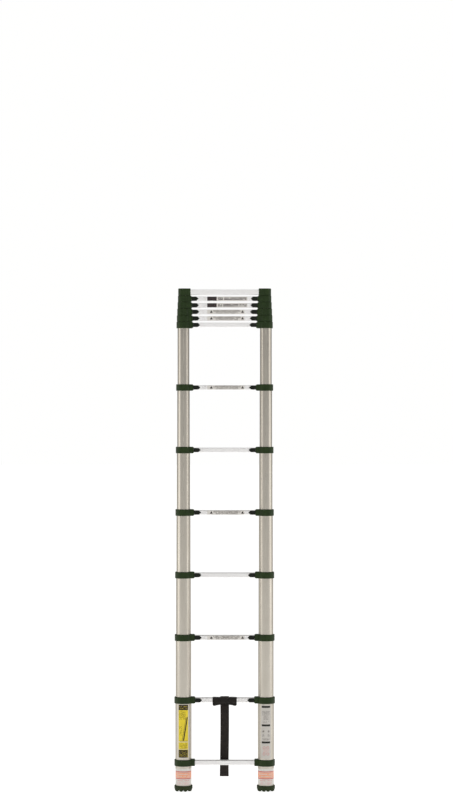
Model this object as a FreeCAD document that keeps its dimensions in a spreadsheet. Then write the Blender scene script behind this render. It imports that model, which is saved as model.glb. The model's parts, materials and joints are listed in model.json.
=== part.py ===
import os
from math import pi

import FreeCAD
import Part
import Sketcher
from FreeCAD import Placement, Rotation, Vector

# Telescoping ladder: two stiles of nested round tubes, thirteen rungs, a thumb-released lock at
# every joint. Millimetres, +Z up, X across the ladder, the climber stands on the -Y side.
# The origin is on the floor, midway between the two feet.

doc = FreeCAD.newDocument("telescoping_ladder")
sheet = doc.addObject("Spreadsheet::Sheet", "Sizes")

SIZES = {
    # whole ladder
    "stile_spacing": 402,      # axis of the left stile to axis of the right stile
    "rung_pitch": 304.8,       # between rungs whose section is drawn out
    "closed_pitch": 32,        # between rungs whose section is pushed in
    "first_rung": 137,         # rung 1 above the floor
    "spaced_rungs": 8,         # rungs 1 to 8 stand at full pitch as the ladder is drawn here
    # tubes of the stiles
    "tube_diameter": 78,       # base tube; each section above is smaller
    "tube_step": 3.5,
    "tube_wall": 1.3,
    "tube_length": 420,
    "tube_top": 13,            # top of a tube above the axis of the rung that it carries
    "lock_hole": 9.5,
    "plug_height": 22,
    "plug_flange": 3,
    "plug_bore": 5,            # wall of the plug round its air hole
    # collars that join rung and tube
    "collar_height": 31.6,
    "collar_wall": 5.5,
    "collar_lip": 2.7,         # rim over the end of the tube
    "sliding_gap": 0.35,       # rim to the next tube
    "block_depth": 44,
    "block_reach": 18.5,       # from the tube to the inner end of the block
    "block_taper": 5.5,
    "block_end": 24.4,         # height of the tapered end
    "collar_round": 2.2,
    "socket_depth": 14.5,
    "socket_gap": 0.1,
    "pin_hole": 9,
    # rungs
    "rung_depth": 36,
    "rung_height": 22,
    "rung_wall": 1.6,
    "rung_round": 3,
    "rung_setback": 4.1,       # end of the rung to the tube
    "top_rung_height": 25,
    "top_rung_depth": 40,
    "tread_groove": 1.4,
    "tread_groove_depth": 0.7,
    "tread_pitch": 3.6,
    "tread_grooves": 7,
    "face_groove": 0.9,        # lines along the front and back of a rung
    "face_groove_depth": 0.4,
    "face_pitch": 4.2,
    "face_grooves": 4,
    # thumb slides, measured from the surface of the tube towards the middle of the rung
    "slide_start": 18.8,
    "slide_length": 29,
    "slide_height": 20,
    "slide_thickness": 5.8,
    "slide_lift": 0.3,         # under the thumb plate
    "grip_width": 1.3,
    "grip_depth": 1.0,
    "grip_pitch": 3.6,
    "grip_grooves": 4,
    "grip_length": 12,
    "thumb_round": 1.6,
    "stem_start": 27,
    "stem_length": 13,
    "stem_height": 6,
    "slide_travel": 10,
    "slot_gap": 0.5,
    "carrier_start": 22,
    "carrier_length": 22,
    "carrier_height": 17.4,
    "carrier_back": 13,
    "pin_diameter": 8,
    "pin_inset": 10,           # pressed into the carrier
    "spring_diameter": 12,
    "spring_bore": 8.4,
    "spring_length": 18,
    "spring_wire": 1.8,
    "spring_groove": 0.5,      # between the turns of the coil
    "stop_gap": 0.6,
    "stop_thickness": 3,
    # rivets that hold the rungs in the collars, driven from behind
    "rivet_reach": 10.5,       # from the tube
    "rivet_radius": 2,
    "rivet_head": 3.6,
    "rivet_dome": 1.3,
    "rivet_end": 1.4,          # past the inside of the rung's wall
    # bottom collars and top caps
    "bottom_reach": 17,
    "cap_wall": 6,
    "cap_reach": 15,
    "cap_top": 18.2,
    "cap_depth": 48,
    # feet
    "foot_diameter": 89,
    "foot_top": 27,
    "foot_floor": 14,          # the base tube stands on this
    "lug_height": 10.6,        # axis of the rounded lugs above the floor
    "lug_radius": 10.9,        # a little more, so that each lug stands on a flat sole
    "lug_pitch": 21,
    "lugs": 4,
    "foot_round": 1.5,
    # closure strap
    "sleeve_width": 118,
    "sleeve_depth": 41.2,
    "sleeve_top": 14,
    "sleeve_under": 3,
    "sleeve_tail": 29,
    "tail_thickness": 5,
    "strap_width": 42,
    "strap_thickness": 2,
    "strap_drop": 376.8,       # free end of the strap below rung 2
}

for row, (alias, number) in enumerate(SIZES.items(), start=1):
    sheet.set(f"A{row}", alias.replace("_", " "))
    sheet.set(f"B{row}", str(number))
    sheet.setAlias(f"B{row}", alias)
doc.recompute()

LOCKS = range(2, 13)           # rungs 2 to 12 carry a lock, and a section stands in each
SECTIONS = range(1, 13)        # tube pairs, from the base up
DOME = ((1, 0), (0.92, 0.5), (0.65, 0.88), (0, 1))     # shares of a rivet head's radius and rise
SEEN = {}                      # label -> object that is written as one node


def size(expression):
    """The number that an expression on the sheet gives now."""
    return float(sheet.evalExpression(expression))


def bind(obj, **expressions):
    """Tie properties of an object to the sheet, such as Length or Radius."""
    for name, expression in expressions.items():
        obj.setExpression(name, expression)


def move(obj, x=None, y=None, z=None):
    """Tie an object's place to the sheet."""
    for axis, expression in (("x", x), ("y", y), ("z", z)):
        if expression is not None:
            obj.setExpression(f"Placement.Base.{axis}", expression)


def tube_radius(section):
    """Outer radius of a section's tube, as an expression."""
    return f"(Sizes.tube_diameter - Sizes.tube_step * {section - 1}) / 2"


def rung_axis(rung):
    """Height of a rung's axis above the floor, as an expression."""
    drawn_out = f"Sizes.rung_pitch * min({rung - 1}; Sizes.spaced_rungs - 1)"
    pushed_in = f"Sizes.closed_pitch * max(0; {rung} - Sizes.spaced_rungs)"
    return f"Sizes.first_rung + {drawn_out} + {pushed_in}"


# ---------------------------------------------------------------- bodies, sketches and features

def new_body(name):
    return doc.addObject("PartDesign::Body", name)


def sketch_on(body, plane, name, lift=None):
    """A sketch on one of the body's own origin planes, lifted along its normal if asked."""
    sketch = body.newObject("Sketcher::SketchObject", f"{body.Name}_{name}")
    role = f"{plane}_Plane"
    origin_plane = next(f for f in body.Origin.OriginFeatures if f.Role == role)
    sketch.AttachmentSupport = [(origin_plane, "")]
    sketch.MapMode = "FlatFace"
    if lift is not None:
        sketch.setExpression("AttachmentOffset.Base.z", lift)
    return sketch


def tie(sketch, index, point, across, up):
    """Dimension one sketch point from the origin."""
    for kind, expression in (("DistanceX", across), ("DistanceY", up)):
        rule = Sketcher.Constraint(kind, -1, 1, index, point, size(expression))
        number = sketch.addConstraint(rule)
        sketch.setExpression(f"Constraints[{number}]", expression)


def outline(sketch, corners):
    """A closed outline of straight lines through corners given as pairs of expressions."""
    first = sketch.GeometryCount
    points = [Vector(size(across), size(up), 0) for across, up in corners]
    count = len(points)
    for i in range(count):
        sketch.addGeometry(Part.LineSegment(points[i], points[(i + 1) % count]), False)
    for i in range(count):
        after = first + (i + 1) % count
        sketch.addConstraint(Sketcher.Constraint("Coincident", first + i, 2, after, 1))
    for i, (across, up) in enumerate(corners):
        tie(sketch, first + i, 1, across, up)


def oblong(sketch, left, right, low, high):
    """A rectangle between four expressions."""
    outline(sketch, [(left, low), (right, low), (right, high), (left, high)])


def circle(sketch, radius, across="0", up="0"):
    """A circle with its radius and centre tied to the sheet."""
    centre = Vector(size(across), size(up), 0)
    index = sketch.addGeometry(Part.Circle(centre, Vector(0, 0, 1), size(radius)), False)
    number = sketch.addConstraint(Sketcher.Constraint("Radius", index, size(radius)))
    sketch.setExpression(f"Constraints[{number}]", radius)
    tie(sketch, index, 3, across, up)


def tongue(sketch, left, right, half_height):
    """A rectangle whose right end is a half circle."""
    x_low, x_high, radius = size(left), size(right), size(half_height)
    straight = x_high - radius
    round_end = Part.Circle(Vector(straight, 0, 0), Vector(0, 0, 1), radius)
    sketch.addGeometry(Part.ArcOfCircle(round_end, -pi / 2, pi / 2), False)
    corners = [Vector(straight, radius, 0), Vector(x_low, radius, 0),
               Vector(x_low, -radius, 0), Vector(straight, -radius, 0)]
    for start, end in zip(corners, corners[1:]):
        sketch.addGeometry(Part.LineSegment(start, end), False)
    for kind, joint in (("Tangent", (0, 2, 1, 1)), ("Coincident", (1, 2, 2, 1)),
                        ("Coincident", (2, 2, 3, 1)), ("Tangent", (3, 2, 0, 1))):
        sketch.addConstraint(Sketcher.Constraint(kind, *joint))
    number = sketch.addConstraint(Sketcher.Constraint("Radius", 0, radius))
    sketch.setExpression(f"Constraints[{number}]", half_height)
    tie(sketch, 0, 3, f"{right} - {half_height}", "0")
    tie(sketch, 2, 1, left, half_height)
    tie(sketch, 3, 1, left, f"-({half_height})")


def pad(body, sketch, length, symmetric=False, backwards=False):
    feature = body.newObject("PartDesign::Pad", sketch.Name + "_pad")
    feature.Profile = sketch
    feature.SideType = "Symmetric" if symmetric else "One side"
    feature.Reversed = backwards
    bind(feature, Length=length)
    body.Tip = feature
    return feature


def pocket(body, sketch, length, symmetric=False, backwards=False):
    """Cut a pocket, and stop if it removed nothing."""
    doc.recompute()
    before = body.Shape.Volume
    feature = body.newObject("PartDesign::Pocket", sketch.Name + "_pocket")
    feature.Profile = sketch
    feature.SideType = "Symmetric" if symmetric else "One side"
    feature.Reversed = backwards
    bind(feature, Length=length)
    body.Tip = feature
    doc.recompute()
    if not body.Shape.Volume < before - 1:
        raise RuntimeError(f"{feature.Name} cut nothing")
    return feature


def repeat(body, feature, axis, spacing, count):
    """Repeat a pocket along an axis of its own sketch."""
    pattern = body.newObject("PartDesign::LinearPattern", feature.Name + "_row")
    pattern.Originals = [feature]
    pattern.Direction = (feature.Profile[0], [axis])
    pattern.Length = size(spacing) * (size(count) - 1)
    pattern.setExpression("Length", f"{spacing} * ({count} - 1)")
    pattern.setExpression("Occurrences", count)
    body.Tip = pattern
    doc.recompute()


def turn(body, sketch):
    """Turn a sketch on the XZ plane round the Z axis."""
    feature = body.newObject("PartDesign::Revolution", sketch.Name + "_turned")
    feature.Profile = sketch
    feature.ReferenceAxis = (sketch, ["V_Axis"])
    feature.Angle = 360
    body.Tip = feature
    return feature


def round_edges(body, name, radius, wanted):
    """Fillet every edge of the body so far that wanted(edge) picks."""
    doc.recompute()
    base = body.Tip
    edges = base.Shape.Edges
    picked = [f"Edge{i}" for i, edge in enumerate(edges, start=1) if wanted(edge)]
    feature = body.newObject("PartDesign::Fillet", f"{body.Name}_{name}")
    feature.Base = (base, picked)
    bind(feature, Radius=radius)
    body.Tip = feature
    doc.recompute()
    return feature


def spans(edge, axis):
    """Length of an edge's box along one axis."""
    return getattr(edge.BoundBox, f"{axis}Length")


def mirrored(obj):
    """The right-hand twin of a left-hand piece."""
    twin = doc.addObject("Part::Mirroring", obj.Name + "_right")
    twin.Source = obj
    twin.Normal = Vector(1, 0, 0)
    twin.Base = Vector(0, 0, 0)
    return twin


def node(label, pieces, height=None):
    """Group separate solids as one named node."""
    group = doc.addObject("Part::Compound", "node_" + label)
    group.Links = pieces
    group.Label = label
    if height is not None:
        move(group, z=height)
    SEEN[label] = group
    return group


def at_left_stile(obj, z=None):
    move(obj, x="-Sizes.stile_spacing / 2", z=z)


# ---------------------------------------------------------------- stiles

def stile_tube(section):
    """One anodised tube. Its own lock pin crosses its wall at the top, and the pin of the lock
    that it slides through drops into the hole one rung pitch lower."""
    body = new_body(f"tube_{section:02d}")
    radius = tube_radius(section)
    from_foot = "Sizes.first_rung + Sizes.rung_pitch + Sizes.tube_top - Sizes.foot_floor"
    length = from_foot if section == 1 else "Sizes.tube_length"
    ring = sketch_on(body, "XY", "ring", lift=f"Sizes.tube_top - ({length})")
    circle(ring, radius)
    circle(ring, f"{radius} - Sizes.tube_wall")
    pad(body, ring, length)
    holes = []
    if section < SECTIONS[-1]:
        holes.append(("top", "0"))
    if section > 1:
        holes.append(("low", "-Sizes.rung_pitch"))
    for name, height in holes:
        hole = sketch_on(body, "YZ", f"{name}_hole")
        circle(hole, "Sizes.lock_hole / 2", up=height)
        pocket(body, hole, f"{radius} + 1", backwards=True)
    at_left_stile(body)
    return body


def end_plug(section):
    """Moulded plug in the lower end of a sliding tube: guide flange, stem and air hole."""
    body = new_body(f"plug_{section:02d}")
    outer = tube_radius(section)
    stem = f"{outer} - Sizes.tube_wall"
    bore = f"{stem} - Sizes.plug_bore"
    foot = "Sizes.tube_top - Sizes.tube_length"
    low = f"{foot} - Sizes.plug_flange"
    high = f"{low} + Sizes.plug_height"
    profile = sketch_on(body, "XZ", "profile")
    outline(profile, [(bore, low), (outer, low), (outer, foot), (stem, foot), (stem, high), (bore, high)])
    turn(body, profile)
    at_left_stile(body)
    return body


def stiles(section):
    left = [stile_tube(section)]
    if section > 1:
        left.append(end_plug(section))
    right = [mirrored(piece) for piece in left]
    node(f"stiles_{section:02d}", left + right, rung_axis(section + 1))


# ---------------------------------------------------------------- collars

def collar_blank(name, section, reach, wall, depth, low, high):
    """Ring round the tube with a block towards the rung."""
    body = new_body(name)
    radius = tube_radius(section)
    height = f"{high} - ({low})"
    ring = sketch_on(body, "XY", "ring", lift=low)
    circle(ring, f"{radius} + {wall}")
    pad(body, ring, height)
    block = sketch_on(body, "XY", "block", lift=low)
    oblong(block, "0", f"{radius} + {reach}", f"-{depth} / 2", f"{depth} / 2")
    pad(body, block, height)
    return body


def taper_block(body, section):
    """Slope the inner end of a lock's block down towards the rung, above and below."""
    end = f"{tube_radius(section)} + Sizes.block_reach"
    for side, way in (("over", 1), ("under", -1)):
        wedge = sketch_on(body, "XZ", f"taper_{side}")
        outline(wedge, [
            (f"{end} - Sizes.block_taper", f"{way} * (Sizes.collar_height / 2 + 1)"),
            (f"{end} - Sizes.block_taper", f"{way} * Sizes.collar_height / 2"),
            (end, f"{way} * Sizes.block_end / 2"),
            (f"{end} + 1", f"{way} * Sizes.block_end / 2"),
            (f"{end} + 1", f"{way} * (Sizes.collar_height / 2 + 1)"),
        ])
        pocket(body, wedge, "Sizes.block_depth + 2", symmetric=True)


def bore_collar(body, section, stop):
    """Bore the collar for its tube, up to the rim at the given height."""
    radius = tube_radius(section)
    seat = sketch_on(body, "XY", "seat", lift=stop)
    circle(seat, radius)
    pocket(body, seat, "Sizes.collar_height * 2")


def bore_rim(body, section):
    """Open the rim for the tube that slides through it."""
    rim = sketch_on(body, "XY", "rim")
    circle(rim, f"{tube_radius(section + 1)} + Sizes.sliding_gap")
    pocket(body, rim, "Sizes.collar_height", backwards=True)


def cut_socket(body, section, depth, height):
    """Square socket that takes the end of the rung."""
    radius = tube_radius(section)
    socket = sketch_on(body, "YZ", "socket", lift=f"{radius} + Sizes.rung_setback - Sizes.socket_gap")
    half_depth = f"({depth} / 2 + Sizes.socket_gap)"
    half_height = f"({height} / 2 + Sizes.socket_gap)"
    oblong(socket, f"-{half_depth}", half_depth, f"-{half_height}", half_height)
    pocket(body, socket, "Sizes.socket_depth * 2", backwards=True)


def drill_for_rivet(body, section, depth):
    """Hole through the back of the block, in line with the hole in the rung."""
    hole = sketch_on(body, "XZ", "rivet_hole")
    circle(hole, "Sizes.rivet_radius", across=f"{tube_radius(section)} + Sizes.rivet_reach")
    pocket(body, hole, depth)


def rivet(name, section, block_depth, rung_depth):
    """Rivet from the back of the block through the wall of the rung, domed head outside."""
    body = new_body(name)
    end = f"-({block_depth} - {rung_depth}) / 2 - Sizes.rung_wall - Sizes.rivet_end"
    profile = sketch_on(body, "XZ", "profile")
    shank = [("0", end), ("Sizes.rivet_radius", end), ("Sizes.rivet_radius", "0")]
    outline(profile, shank + [
        (f"Sizes.rivet_head * {out}", f"Sizes.rivet_dome * {up}") for out, up in DOME
    ])
    turn(body, profile)
    body.Placement = Placement(Vector(0, 0, 0), Rotation(Vector(1, 0, 0), -90))
    across = f"-Sizes.stile_spacing / 2 + {tube_radius(section)} + Sizes.rivet_reach"
    move(body, x=across, y=f"{block_depth} / 2")
    return body


def round_collar(body):
    """Round the outer edges at the top and bottom of a collar, and the upright corners."""
    doc.recompute()
    top = body.Shape.BoundBox.ZMax
    low = body.Shape.BoundBox.ZMin

    def upright(edge):
        middle = edge.BoundBox.Center
        return spans(edge, "Z") > 15 and spans(edge, "X") < 0.1 and spans(edge, "Y") < 0.1 and middle.x > 1

    round_edges(body, "corners", "Sizes.collar_round", upright)

    def outer(edge):
        box = edge.BoundBox
        flat = box.ZLength < 0.01
        return flat and (abs(box.ZMax - top) < 0.01 or abs(box.ZMin - low) < 0.01)

    round_edges(body, "rims", "Sizes.collar_round", outer)


def lock_collar(rung):
    """Collar that carries a rung and its lock, on the tube of the section below."""
    section = rung - 1
    half = "Sizes.collar_height / 2"
    body = collar_blank(
        f"lock_collar_{rung:02d}", section, "Sizes.block_reach", "Sizes.collar_wall",
        "Sizes.block_depth", f"-{half}", half,
    )
    round_collar(body)
    taper_block(body, section)
    bore_collar(body, section, f"{half} - Sizes.collar_lip")
    bore_rim(body, section)
    cut_socket(body, section, "Sizes.rung_depth", "Sizes.rung_height")
    hole = sketch_on(body, "YZ", "pin_hole")
    circle(hole, "Sizes.pin_hole / 2")
    pocket(body, hole, f"{tube_radius(section)} + Sizes.socket_depth", backwards=True)
    drill_for_rivet(body, section, "Sizes.block_depth")
    return body


def bottom_collar():
    """Plain collar of rung 1, open at both ends on the base tube."""
    half = "Sizes.collar_height / 2"
    body = collar_blank(
        "bottom_collar", 1, "Sizes.bottom_reach", "Sizes.collar_wall",
        "Sizes.block_depth", f"-{half}", half,
    )
    round_collar(body)
    bore_collar(body, 1, f"{half} + 1")
    cut_socket(body, 1, "Sizes.rung_depth", "Sizes.rung_height")
    drill_for_rivet(body, 1, "Sizes.block_depth")
    return body


def top_cap():
    """Closed cap on the last tube, with the socket of the top rung."""
    section = SECTIONS[-1]
    body = collar_blank(
        "top_cap", section, "Sizes.cap_reach", "Sizes.cap_wall",
        "Sizes.cap_depth", "-Sizes.collar_height / 2", "Sizes.cap_top",
    )
    round_collar(body)
    bore_collar(body, section, "Sizes.tube_top")
    cut_socket(body, section, "Sizes.top_rung_depth", "Sizes.top_rung_height")
    drill_for_rivet(body, section, "Sizes.cap_depth")
    return body


# ---------------------------------------------------------------- rungs

def rung_bar(rung, depth, height, slots):
    """Hollow aluminium bar with a grooved tread, slotted at both ends for the thumb slides."""
    section = min(max(rung - 1, 1), SECTIONS[-1])
    body = new_body(f"rung_bar_{rung:02d}")
    radius = tube_radius(section)
    half_length = f"(Sizes.stile_spacing / 2 - {radius} - Sizes.rung_setback)"
    profile = sketch_on(body, "YZ", "profile")
    oblong(profile, f"-{depth} / 2", f"{depth} / 2", f"-{height} / 2", f"{height} / 2")
    pad(body, profile, f"2 * {half_length}", symmetric=True)
    round_edges(body, "corners", "Sizes.rung_round", lambda edge: spans(edge, "X") > 100)
    hollow = sketch_on(body, "YZ", "hollow")
    inner_depth = f"({depth} / 2 - Sizes.rung_wall)"
    inner_height = f"({height} / 2 - Sizes.rung_wall)"
    oblong(hollow, f"-{inner_depth}", inner_depth, f"-{inner_height}", inner_height)
    pocket(body, hollow, f"2 * {half_length} + 2", symmetric=True)
    groove = sketch_on(body, "YZ", "groove")
    start = "-Sizes.tread_pitch * (Sizes.tread_grooves - 1) / 2"
    oblong(groove, f"{start} - Sizes.tread_groove / 2", f"{start} + Sizes.tread_groove / 2",
           f"{height} / 2 - Sizes.tread_groove_depth", f"{height} / 2 + 1")
    cut = pocket(body, groove, f"2 * {half_length} + 2", symmetric=True)
    repeat(body, cut, "H_Axis", "Sizes.tread_pitch", "Sizes.tread_grooves")
    lines = sketch_on(body, "YZ", "lines")
    low = "-Sizes.face_pitch * (Sizes.face_grooves - 1) / 2"
    for side in ("-", ""):
        face = f"{side}({depth} / 2 + 1)"
        floor = f"{side}({depth} / 2 - Sizes.face_groove_depth)"
        oblong(lines, floor, face, f"{low} - Sizes.face_groove / 2", f"{low} + Sizes.face_groove / 2")
    cut = pocket(body, lines, f"2 * {half_length} + 2", symmetric=True)
    repeat(body, cut, "V_Axis", "Sizes.face_pitch", "Sizes.face_grooves")
    holes = sketch_on(body, "XZ", "rivet_holes")
    reach = f"(Sizes.stile_spacing / 2 - {radius} - Sizes.rivet_reach)"
    circle(holes, "Sizes.rivet_radius", across=reach)
    circle(holes, "Sizes.rivet_radius", across=f"-{reach}")
    pocket(body, holes, depth)
    if slots:
        slot = sketch_on(body, "XZ", "slots")
        far = f"(Sizes.stile_spacing / 2 - {radius} - Sizes.stem_start + Sizes.slot_gap)"
        near = f"({far} - Sizes.stem_length - Sizes.slide_travel - 2 * Sizes.slot_gap)"
        rise = "(Sizes.stem_height / 2 + Sizes.slot_gap)"
        oblong(slot, near, far, f"-{rise}", rise)
        oblong(slot, f"-{far}", f"-{near}", f"-{rise}", rise)
        pocket(body, slot, depth, backwards=True)
    return body


def spring_stop(rung):
    """Plate pressed into the rung behind the spring of the left thumb slide."""
    body = new_body(f"spring_stop_{rung:02d}")
    spring_end = "Sizes.carrier_start + Sizes.carrier_length + Sizes.spring_length"
    start = f"{spring_end} + Sizes.slide_travel + Sizes.stop_gap"
    place = f"-Sizes.stile_spacing / 2 + {tube_radius(rung - 1)} + {start}"
    plate = sketch_on(body, "YZ", "plate", lift=place)
    across = "(Sizes.rung_depth / 2 - Sizes.rung_wall)"
    up = "(Sizes.rung_height / 2 - Sizes.rung_wall)"
    oblong(plate, f"-{across}", across, f"-{up}", up)
    pad(body, plate, "Sizes.stop_thickness")
    return body


def lock_rung(rung):
    """A rung between two locks, with the stops of its two springs."""
    stop = spring_stop(rung)
    return [rung_bar(rung, "Sizes.rung_depth", "Sizes.rung_height", slots=True), stop, mirrored(stop)]


# ---------------------------------------------------------------- locks

def thumb_slide(rung):
    """Moulded thumb plate in front of the rung, square towards the collar and round towards the
    middle, with its stem through the slot and the carrier of the lock pin inside the rung."""
    body = new_body(f"thumb_slide_{rung:02d}")
    radius = tube_radius(rung - 1)
    front = "Sizes.rung_depth / 2 + Sizes.slide_lift"
    plate = sketch_on(body, "XZ", "plate", lift=front)
    end = f"{radius} + Sizes.slide_start + Sizes.slide_length"
    tongue(plate, f"{radius} + Sizes.slide_start", end, "Sizes.slide_height / 2")
    pad(body, plate, "Sizes.slide_thickness")
    face = "Sizes.rung_depth / 2 + Sizes.slide_lift + Sizes.slide_thickness"
    round_edges(body, "thumb_edge", "Sizes.thumb_round", lambda edge: edge.BoundBox.YMax < 0.01 - size(face))
    stem = sketch_on(body, "XZ", "stem")
    stem_start = f"{radius} + Sizes.stem_start"
    stem_rise = "Sizes.stem_height / 2"
    oblong(stem, stem_start, f"{stem_start} + Sizes.stem_length", f"-{stem_rise}", stem_rise)
    pad(body, stem, f"{front} + 1")
    carrier = sketch_on(body, "XZ", "carrier", lift="-Sizes.carrier_back")
    start = f"{radius} + Sizes.carrier_start"
    rise = "Sizes.carrier_height / 2"
    oblong(carrier, start, f"{start} + Sizes.carrier_length", f"-{rise}", rise)
    inside = "Sizes.rung_depth / 2 - Sizes.rung_wall - Sizes.slide_lift"
    pad(body, carrier, f"{inside} + Sizes.carrier_back")
    bore = sketch_on(body, "YZ", "bore", lift=f"{start} + Sizes.pin_inset")
    circle(bore, "Sizes.pin_diameter / 2")
    pocket(body, bore, "Sizes.pin_inset + 1")
    grip = sketch_on(body, "XZ", "grip", lift=f"{face} - Sizes.grip_depth")
    middle = f"{radius} + Sizes.slide_start + Sizes.slide_length / 2"
    first = f"{middle} - Sizes.grip_pitch * (Sizes.grip_grooves - 1) / 2"
    rise = "Sizes.grip_length / 2"
    oblong(grip, f"{first} - Sizes.grip_width / 2", f"{first} + Sizes.grip_width / 2", f"-{rise}", rise)
    cut = pocket(body, grip, "Sizes.grip_depth * 2", backwards=True)
    repeat(body, cut, "H_Axis", "Sizes.grip_pitch", "Sizes.grip_grooves")
    at_left_stile(body)
    return body


def lock_pin(rung):
    """Steel pin from the carrier through the collar, its tip level with the inside of the tube."""
    pin = doc.addObject("Part::Cylinder", f"lock_pin_{rung:02d}")
    radius = tube_radius(rung - 1)
    bind(pin, Radius="Sizes.pin_diameter / 2",
         Height="Sizes.tube_wall + Sizes.carrier_start + Sizes.pin_inset")
    pin.Placement = Placement(Vector(0, 0, 0), Rotation(Vector(0, 1, 0), 90))
    move(pin, x=f"-Sizes.stile_spacing / 2 + {radius} - Sizes.tube_wall")
    return pin


def lock_spring(rung):
    """Spring behind the carrier, at the closed-wound length of its coil."""
    body = new_body(f"lock_spring_{rung:02d}")
    turns = int(size("Sizes.spring_length / Sizes.spring_wire"))
    between = "Sizes.spring_diameter / 2 - Sizes.spring_groove"
    corners = []
    for coil in range(turns):
        low = f"Sizes.spring_wire * {coil}"
        corners.append((between, low))
        corners.append(("Sizes.spring_diameter / 2", f"{low} + Sizes.spring_wire / 2"))
    corners.append((between, f"Sizes.spring_wire * {turns}"))
    corners.append(("Sizes.spring_bore / 2", f"Sizes.spring_wire * {turns}"))
    corners.append(("Sizes.spring_bore / 2", "0"))
    coils = sketch_on(body, "XZ", "coils")
    outline(coils, corners)
    turn(body, coils)
    body.Placement = Placement(Vector(0, 0, 0), Rotation(Vector(0, 1, 0), 90))
    behind = "Sizes.carrier_start + Sizes.carrier_length"
    move(body, x=f"-Sizes.stile_spacing / 2 + {tube_radius(rung - 1)} + {behind}")
    return body


def locks(rung):
    """The two thumb slides of a rung, each with its pin and spring."""
    left = [thumb_slide(rung), lock_pin(rung), lock_spring(rung)]
    node(f"release_left_{rung:02d}", left, rung_axis(rung))
    node(f"release_right_{rung:02d}", [mirrored(piece) for piece in left], rung_axis(rung))


# ---------------------------------------------------------------- feet and closure strap

def foot():
    """Rubber cup on the base tube, standing on four rounded lugs with flat soles."""
    cup = doc.addObject("Part::Cylinder", "foot_cup")
    bind(cup, Radius="Sizes.foot_diameter / 2", Height="Sizes.foot_top - Sizes.lug_height")
    move(cup, z="Sizes.lug_height")
    lugs = []
    for number in range(int(size("Sizes.lugs"))):
        lug = doc.addObject("Part::Cylinder", f"foot_lug_{number}")
        bind(lug, Radius="Sizes.lug_radius", Height="Sizes.foot_diameter")
        lug.Placement = Placement(Vector(0, 0, 0), Rotation(Vector(1, 0, 0), 90))
        across = f"Sizes.lug_pitch * ({number} - (Sizes.lugs - 1) / 2)"
        move(lug, x=across, y="Sizes.foot_diameter / 2", z="Sizes.lug_height")
        lugs.append(lug)
    tread = doc.addObject("Part::MultiFuse", "foot_tread")
    tread.Shapes = lugs
    plan = doc.addObject("Part::Cylinder", "foot_plan")
    bind(plan, Radius="Sizes.foot_diameter / 2", Height="Sizes.foot_top")
    sole = doc.addObject("Part::Common", "foot_sole")
    sole.Base = tread
    sole.Tool = plan
    solid = doc.addObject("Part::Fuse", "foot_solid")
    solid.Base = cup
    solid.Tool = sole
    seat = doc.addObject("Part::Cylinder", "foot_seat")
    bind(seat, Radius="Sizes.tube_diameter / 2", Height="Sizes.foot_top")
    move(seat, z="Sizes.foot_floor")
    body = doc.addObject("Part::Cut", "foot_body")
    body.Base = solid
    body.Tool = seat
    doc.recompute()
    top = size("Sizes.foot_top")
    outer = size("Sizes.foot_diameter * 3")
    rim = [i for i, edge in enumerate(body.Shape.Edges, start=1)
           if abs(edge.BoundBox.ZMin - top) < 0.01 and edge.Length > outer]
    rounded = doc.addObject("Part::Fillet", "foot")
    rounded.Base = body
    rounded.Edges = [(i, SIZES["foot_round"], SIZES["foot_round"]) for i in rim]
    at_left_stile(rounded)
    return rounded


def sleeve():
    """Fabric sleeve wrapped round rung 2 and sewn to itself in a tail under the rung."""
    body = new_body("sleeve")
    depth = "Sizes.sleeve_depth / 2"
    tail = "Sizes.tail_thickness / 2"
    bottom = "-Sizes.rung_height / 2 - Sizes.sleeve_under"
    wrap = sketch_on(body, "YZ", "wrap")
    outline(wrap, [
        (f"-{tail}", "-Sizes.sleeve_tail"), (tail, "-Sizes.sleeve_tail"), (tail, bottom),
        (depth, bottom), (depth, "Sizes.sleeve_top"), (f"-{depth}", "Sizes.sleeve_top"),
        (f"-{depth}", bottom), (f"-{tail}", bottom),
    ])
    oblong(wrap, "-Sizes.rung_depth / 2", "Sizes.rung_depth / 2",
           "-Sizes.rung_height / 2", "Sizes.rung_height / 2")
    pad(body, wrap, "Sizes.sleeve_width", symmetric=True)
    return body


def strap():
    """Webbing strap over the top of the sleeve, hanging behind the two lowest rungs."""
    body = new_body("strap")
    depth = "Sizes.sleeve_depth / 2"
    top = "Sizes.sleeve_top"
    run = sketch_on(body, "YZ", "run")
    outline(run, [
        (f"-{depth}", top), (depth, top), (depth, "-Sizes.strap_drop"),
        (f"{depth} + Sizes.strap_thickness", "-Sizes.strap_drop"),
        (f"{depth} + Sizes.strap_thickness", f"{top} + Sizes.strap_thickness"),
        (f"-{depth}", f"{top} + Sizes.strap_thickness"),
    ])
    pad(body, run, "Sizes.strap_width", symmetric=True)
    return body


# ---------------------------------------------------------------- the ladder

for number in SECTIONS:
    stiles(number)

low_rung = rung_bar(1, "Sizes.rung_depth", "Sizes.rung_height", slots=False)
move(low_rung, z=rung_axis(1))
second_rung = lock_rung(2)
for piece in second_rung[:2]:      # the third piece mirrors the second, wherever that stands
    move(piece, z=rung_axis(2))
node("base_rungs", [low_rung] + second_rung)
for number in LOCKS[1:]:
    node(f"rung_{number:02d}", lock_rung(number), rung_axis(number))
top_bar = rung_bar(13, "Sizes.top_rung_depth", "Sizes.top_rung_height", slots=False)
node("rung_13", [top_bar], rung_axis(13))

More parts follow.
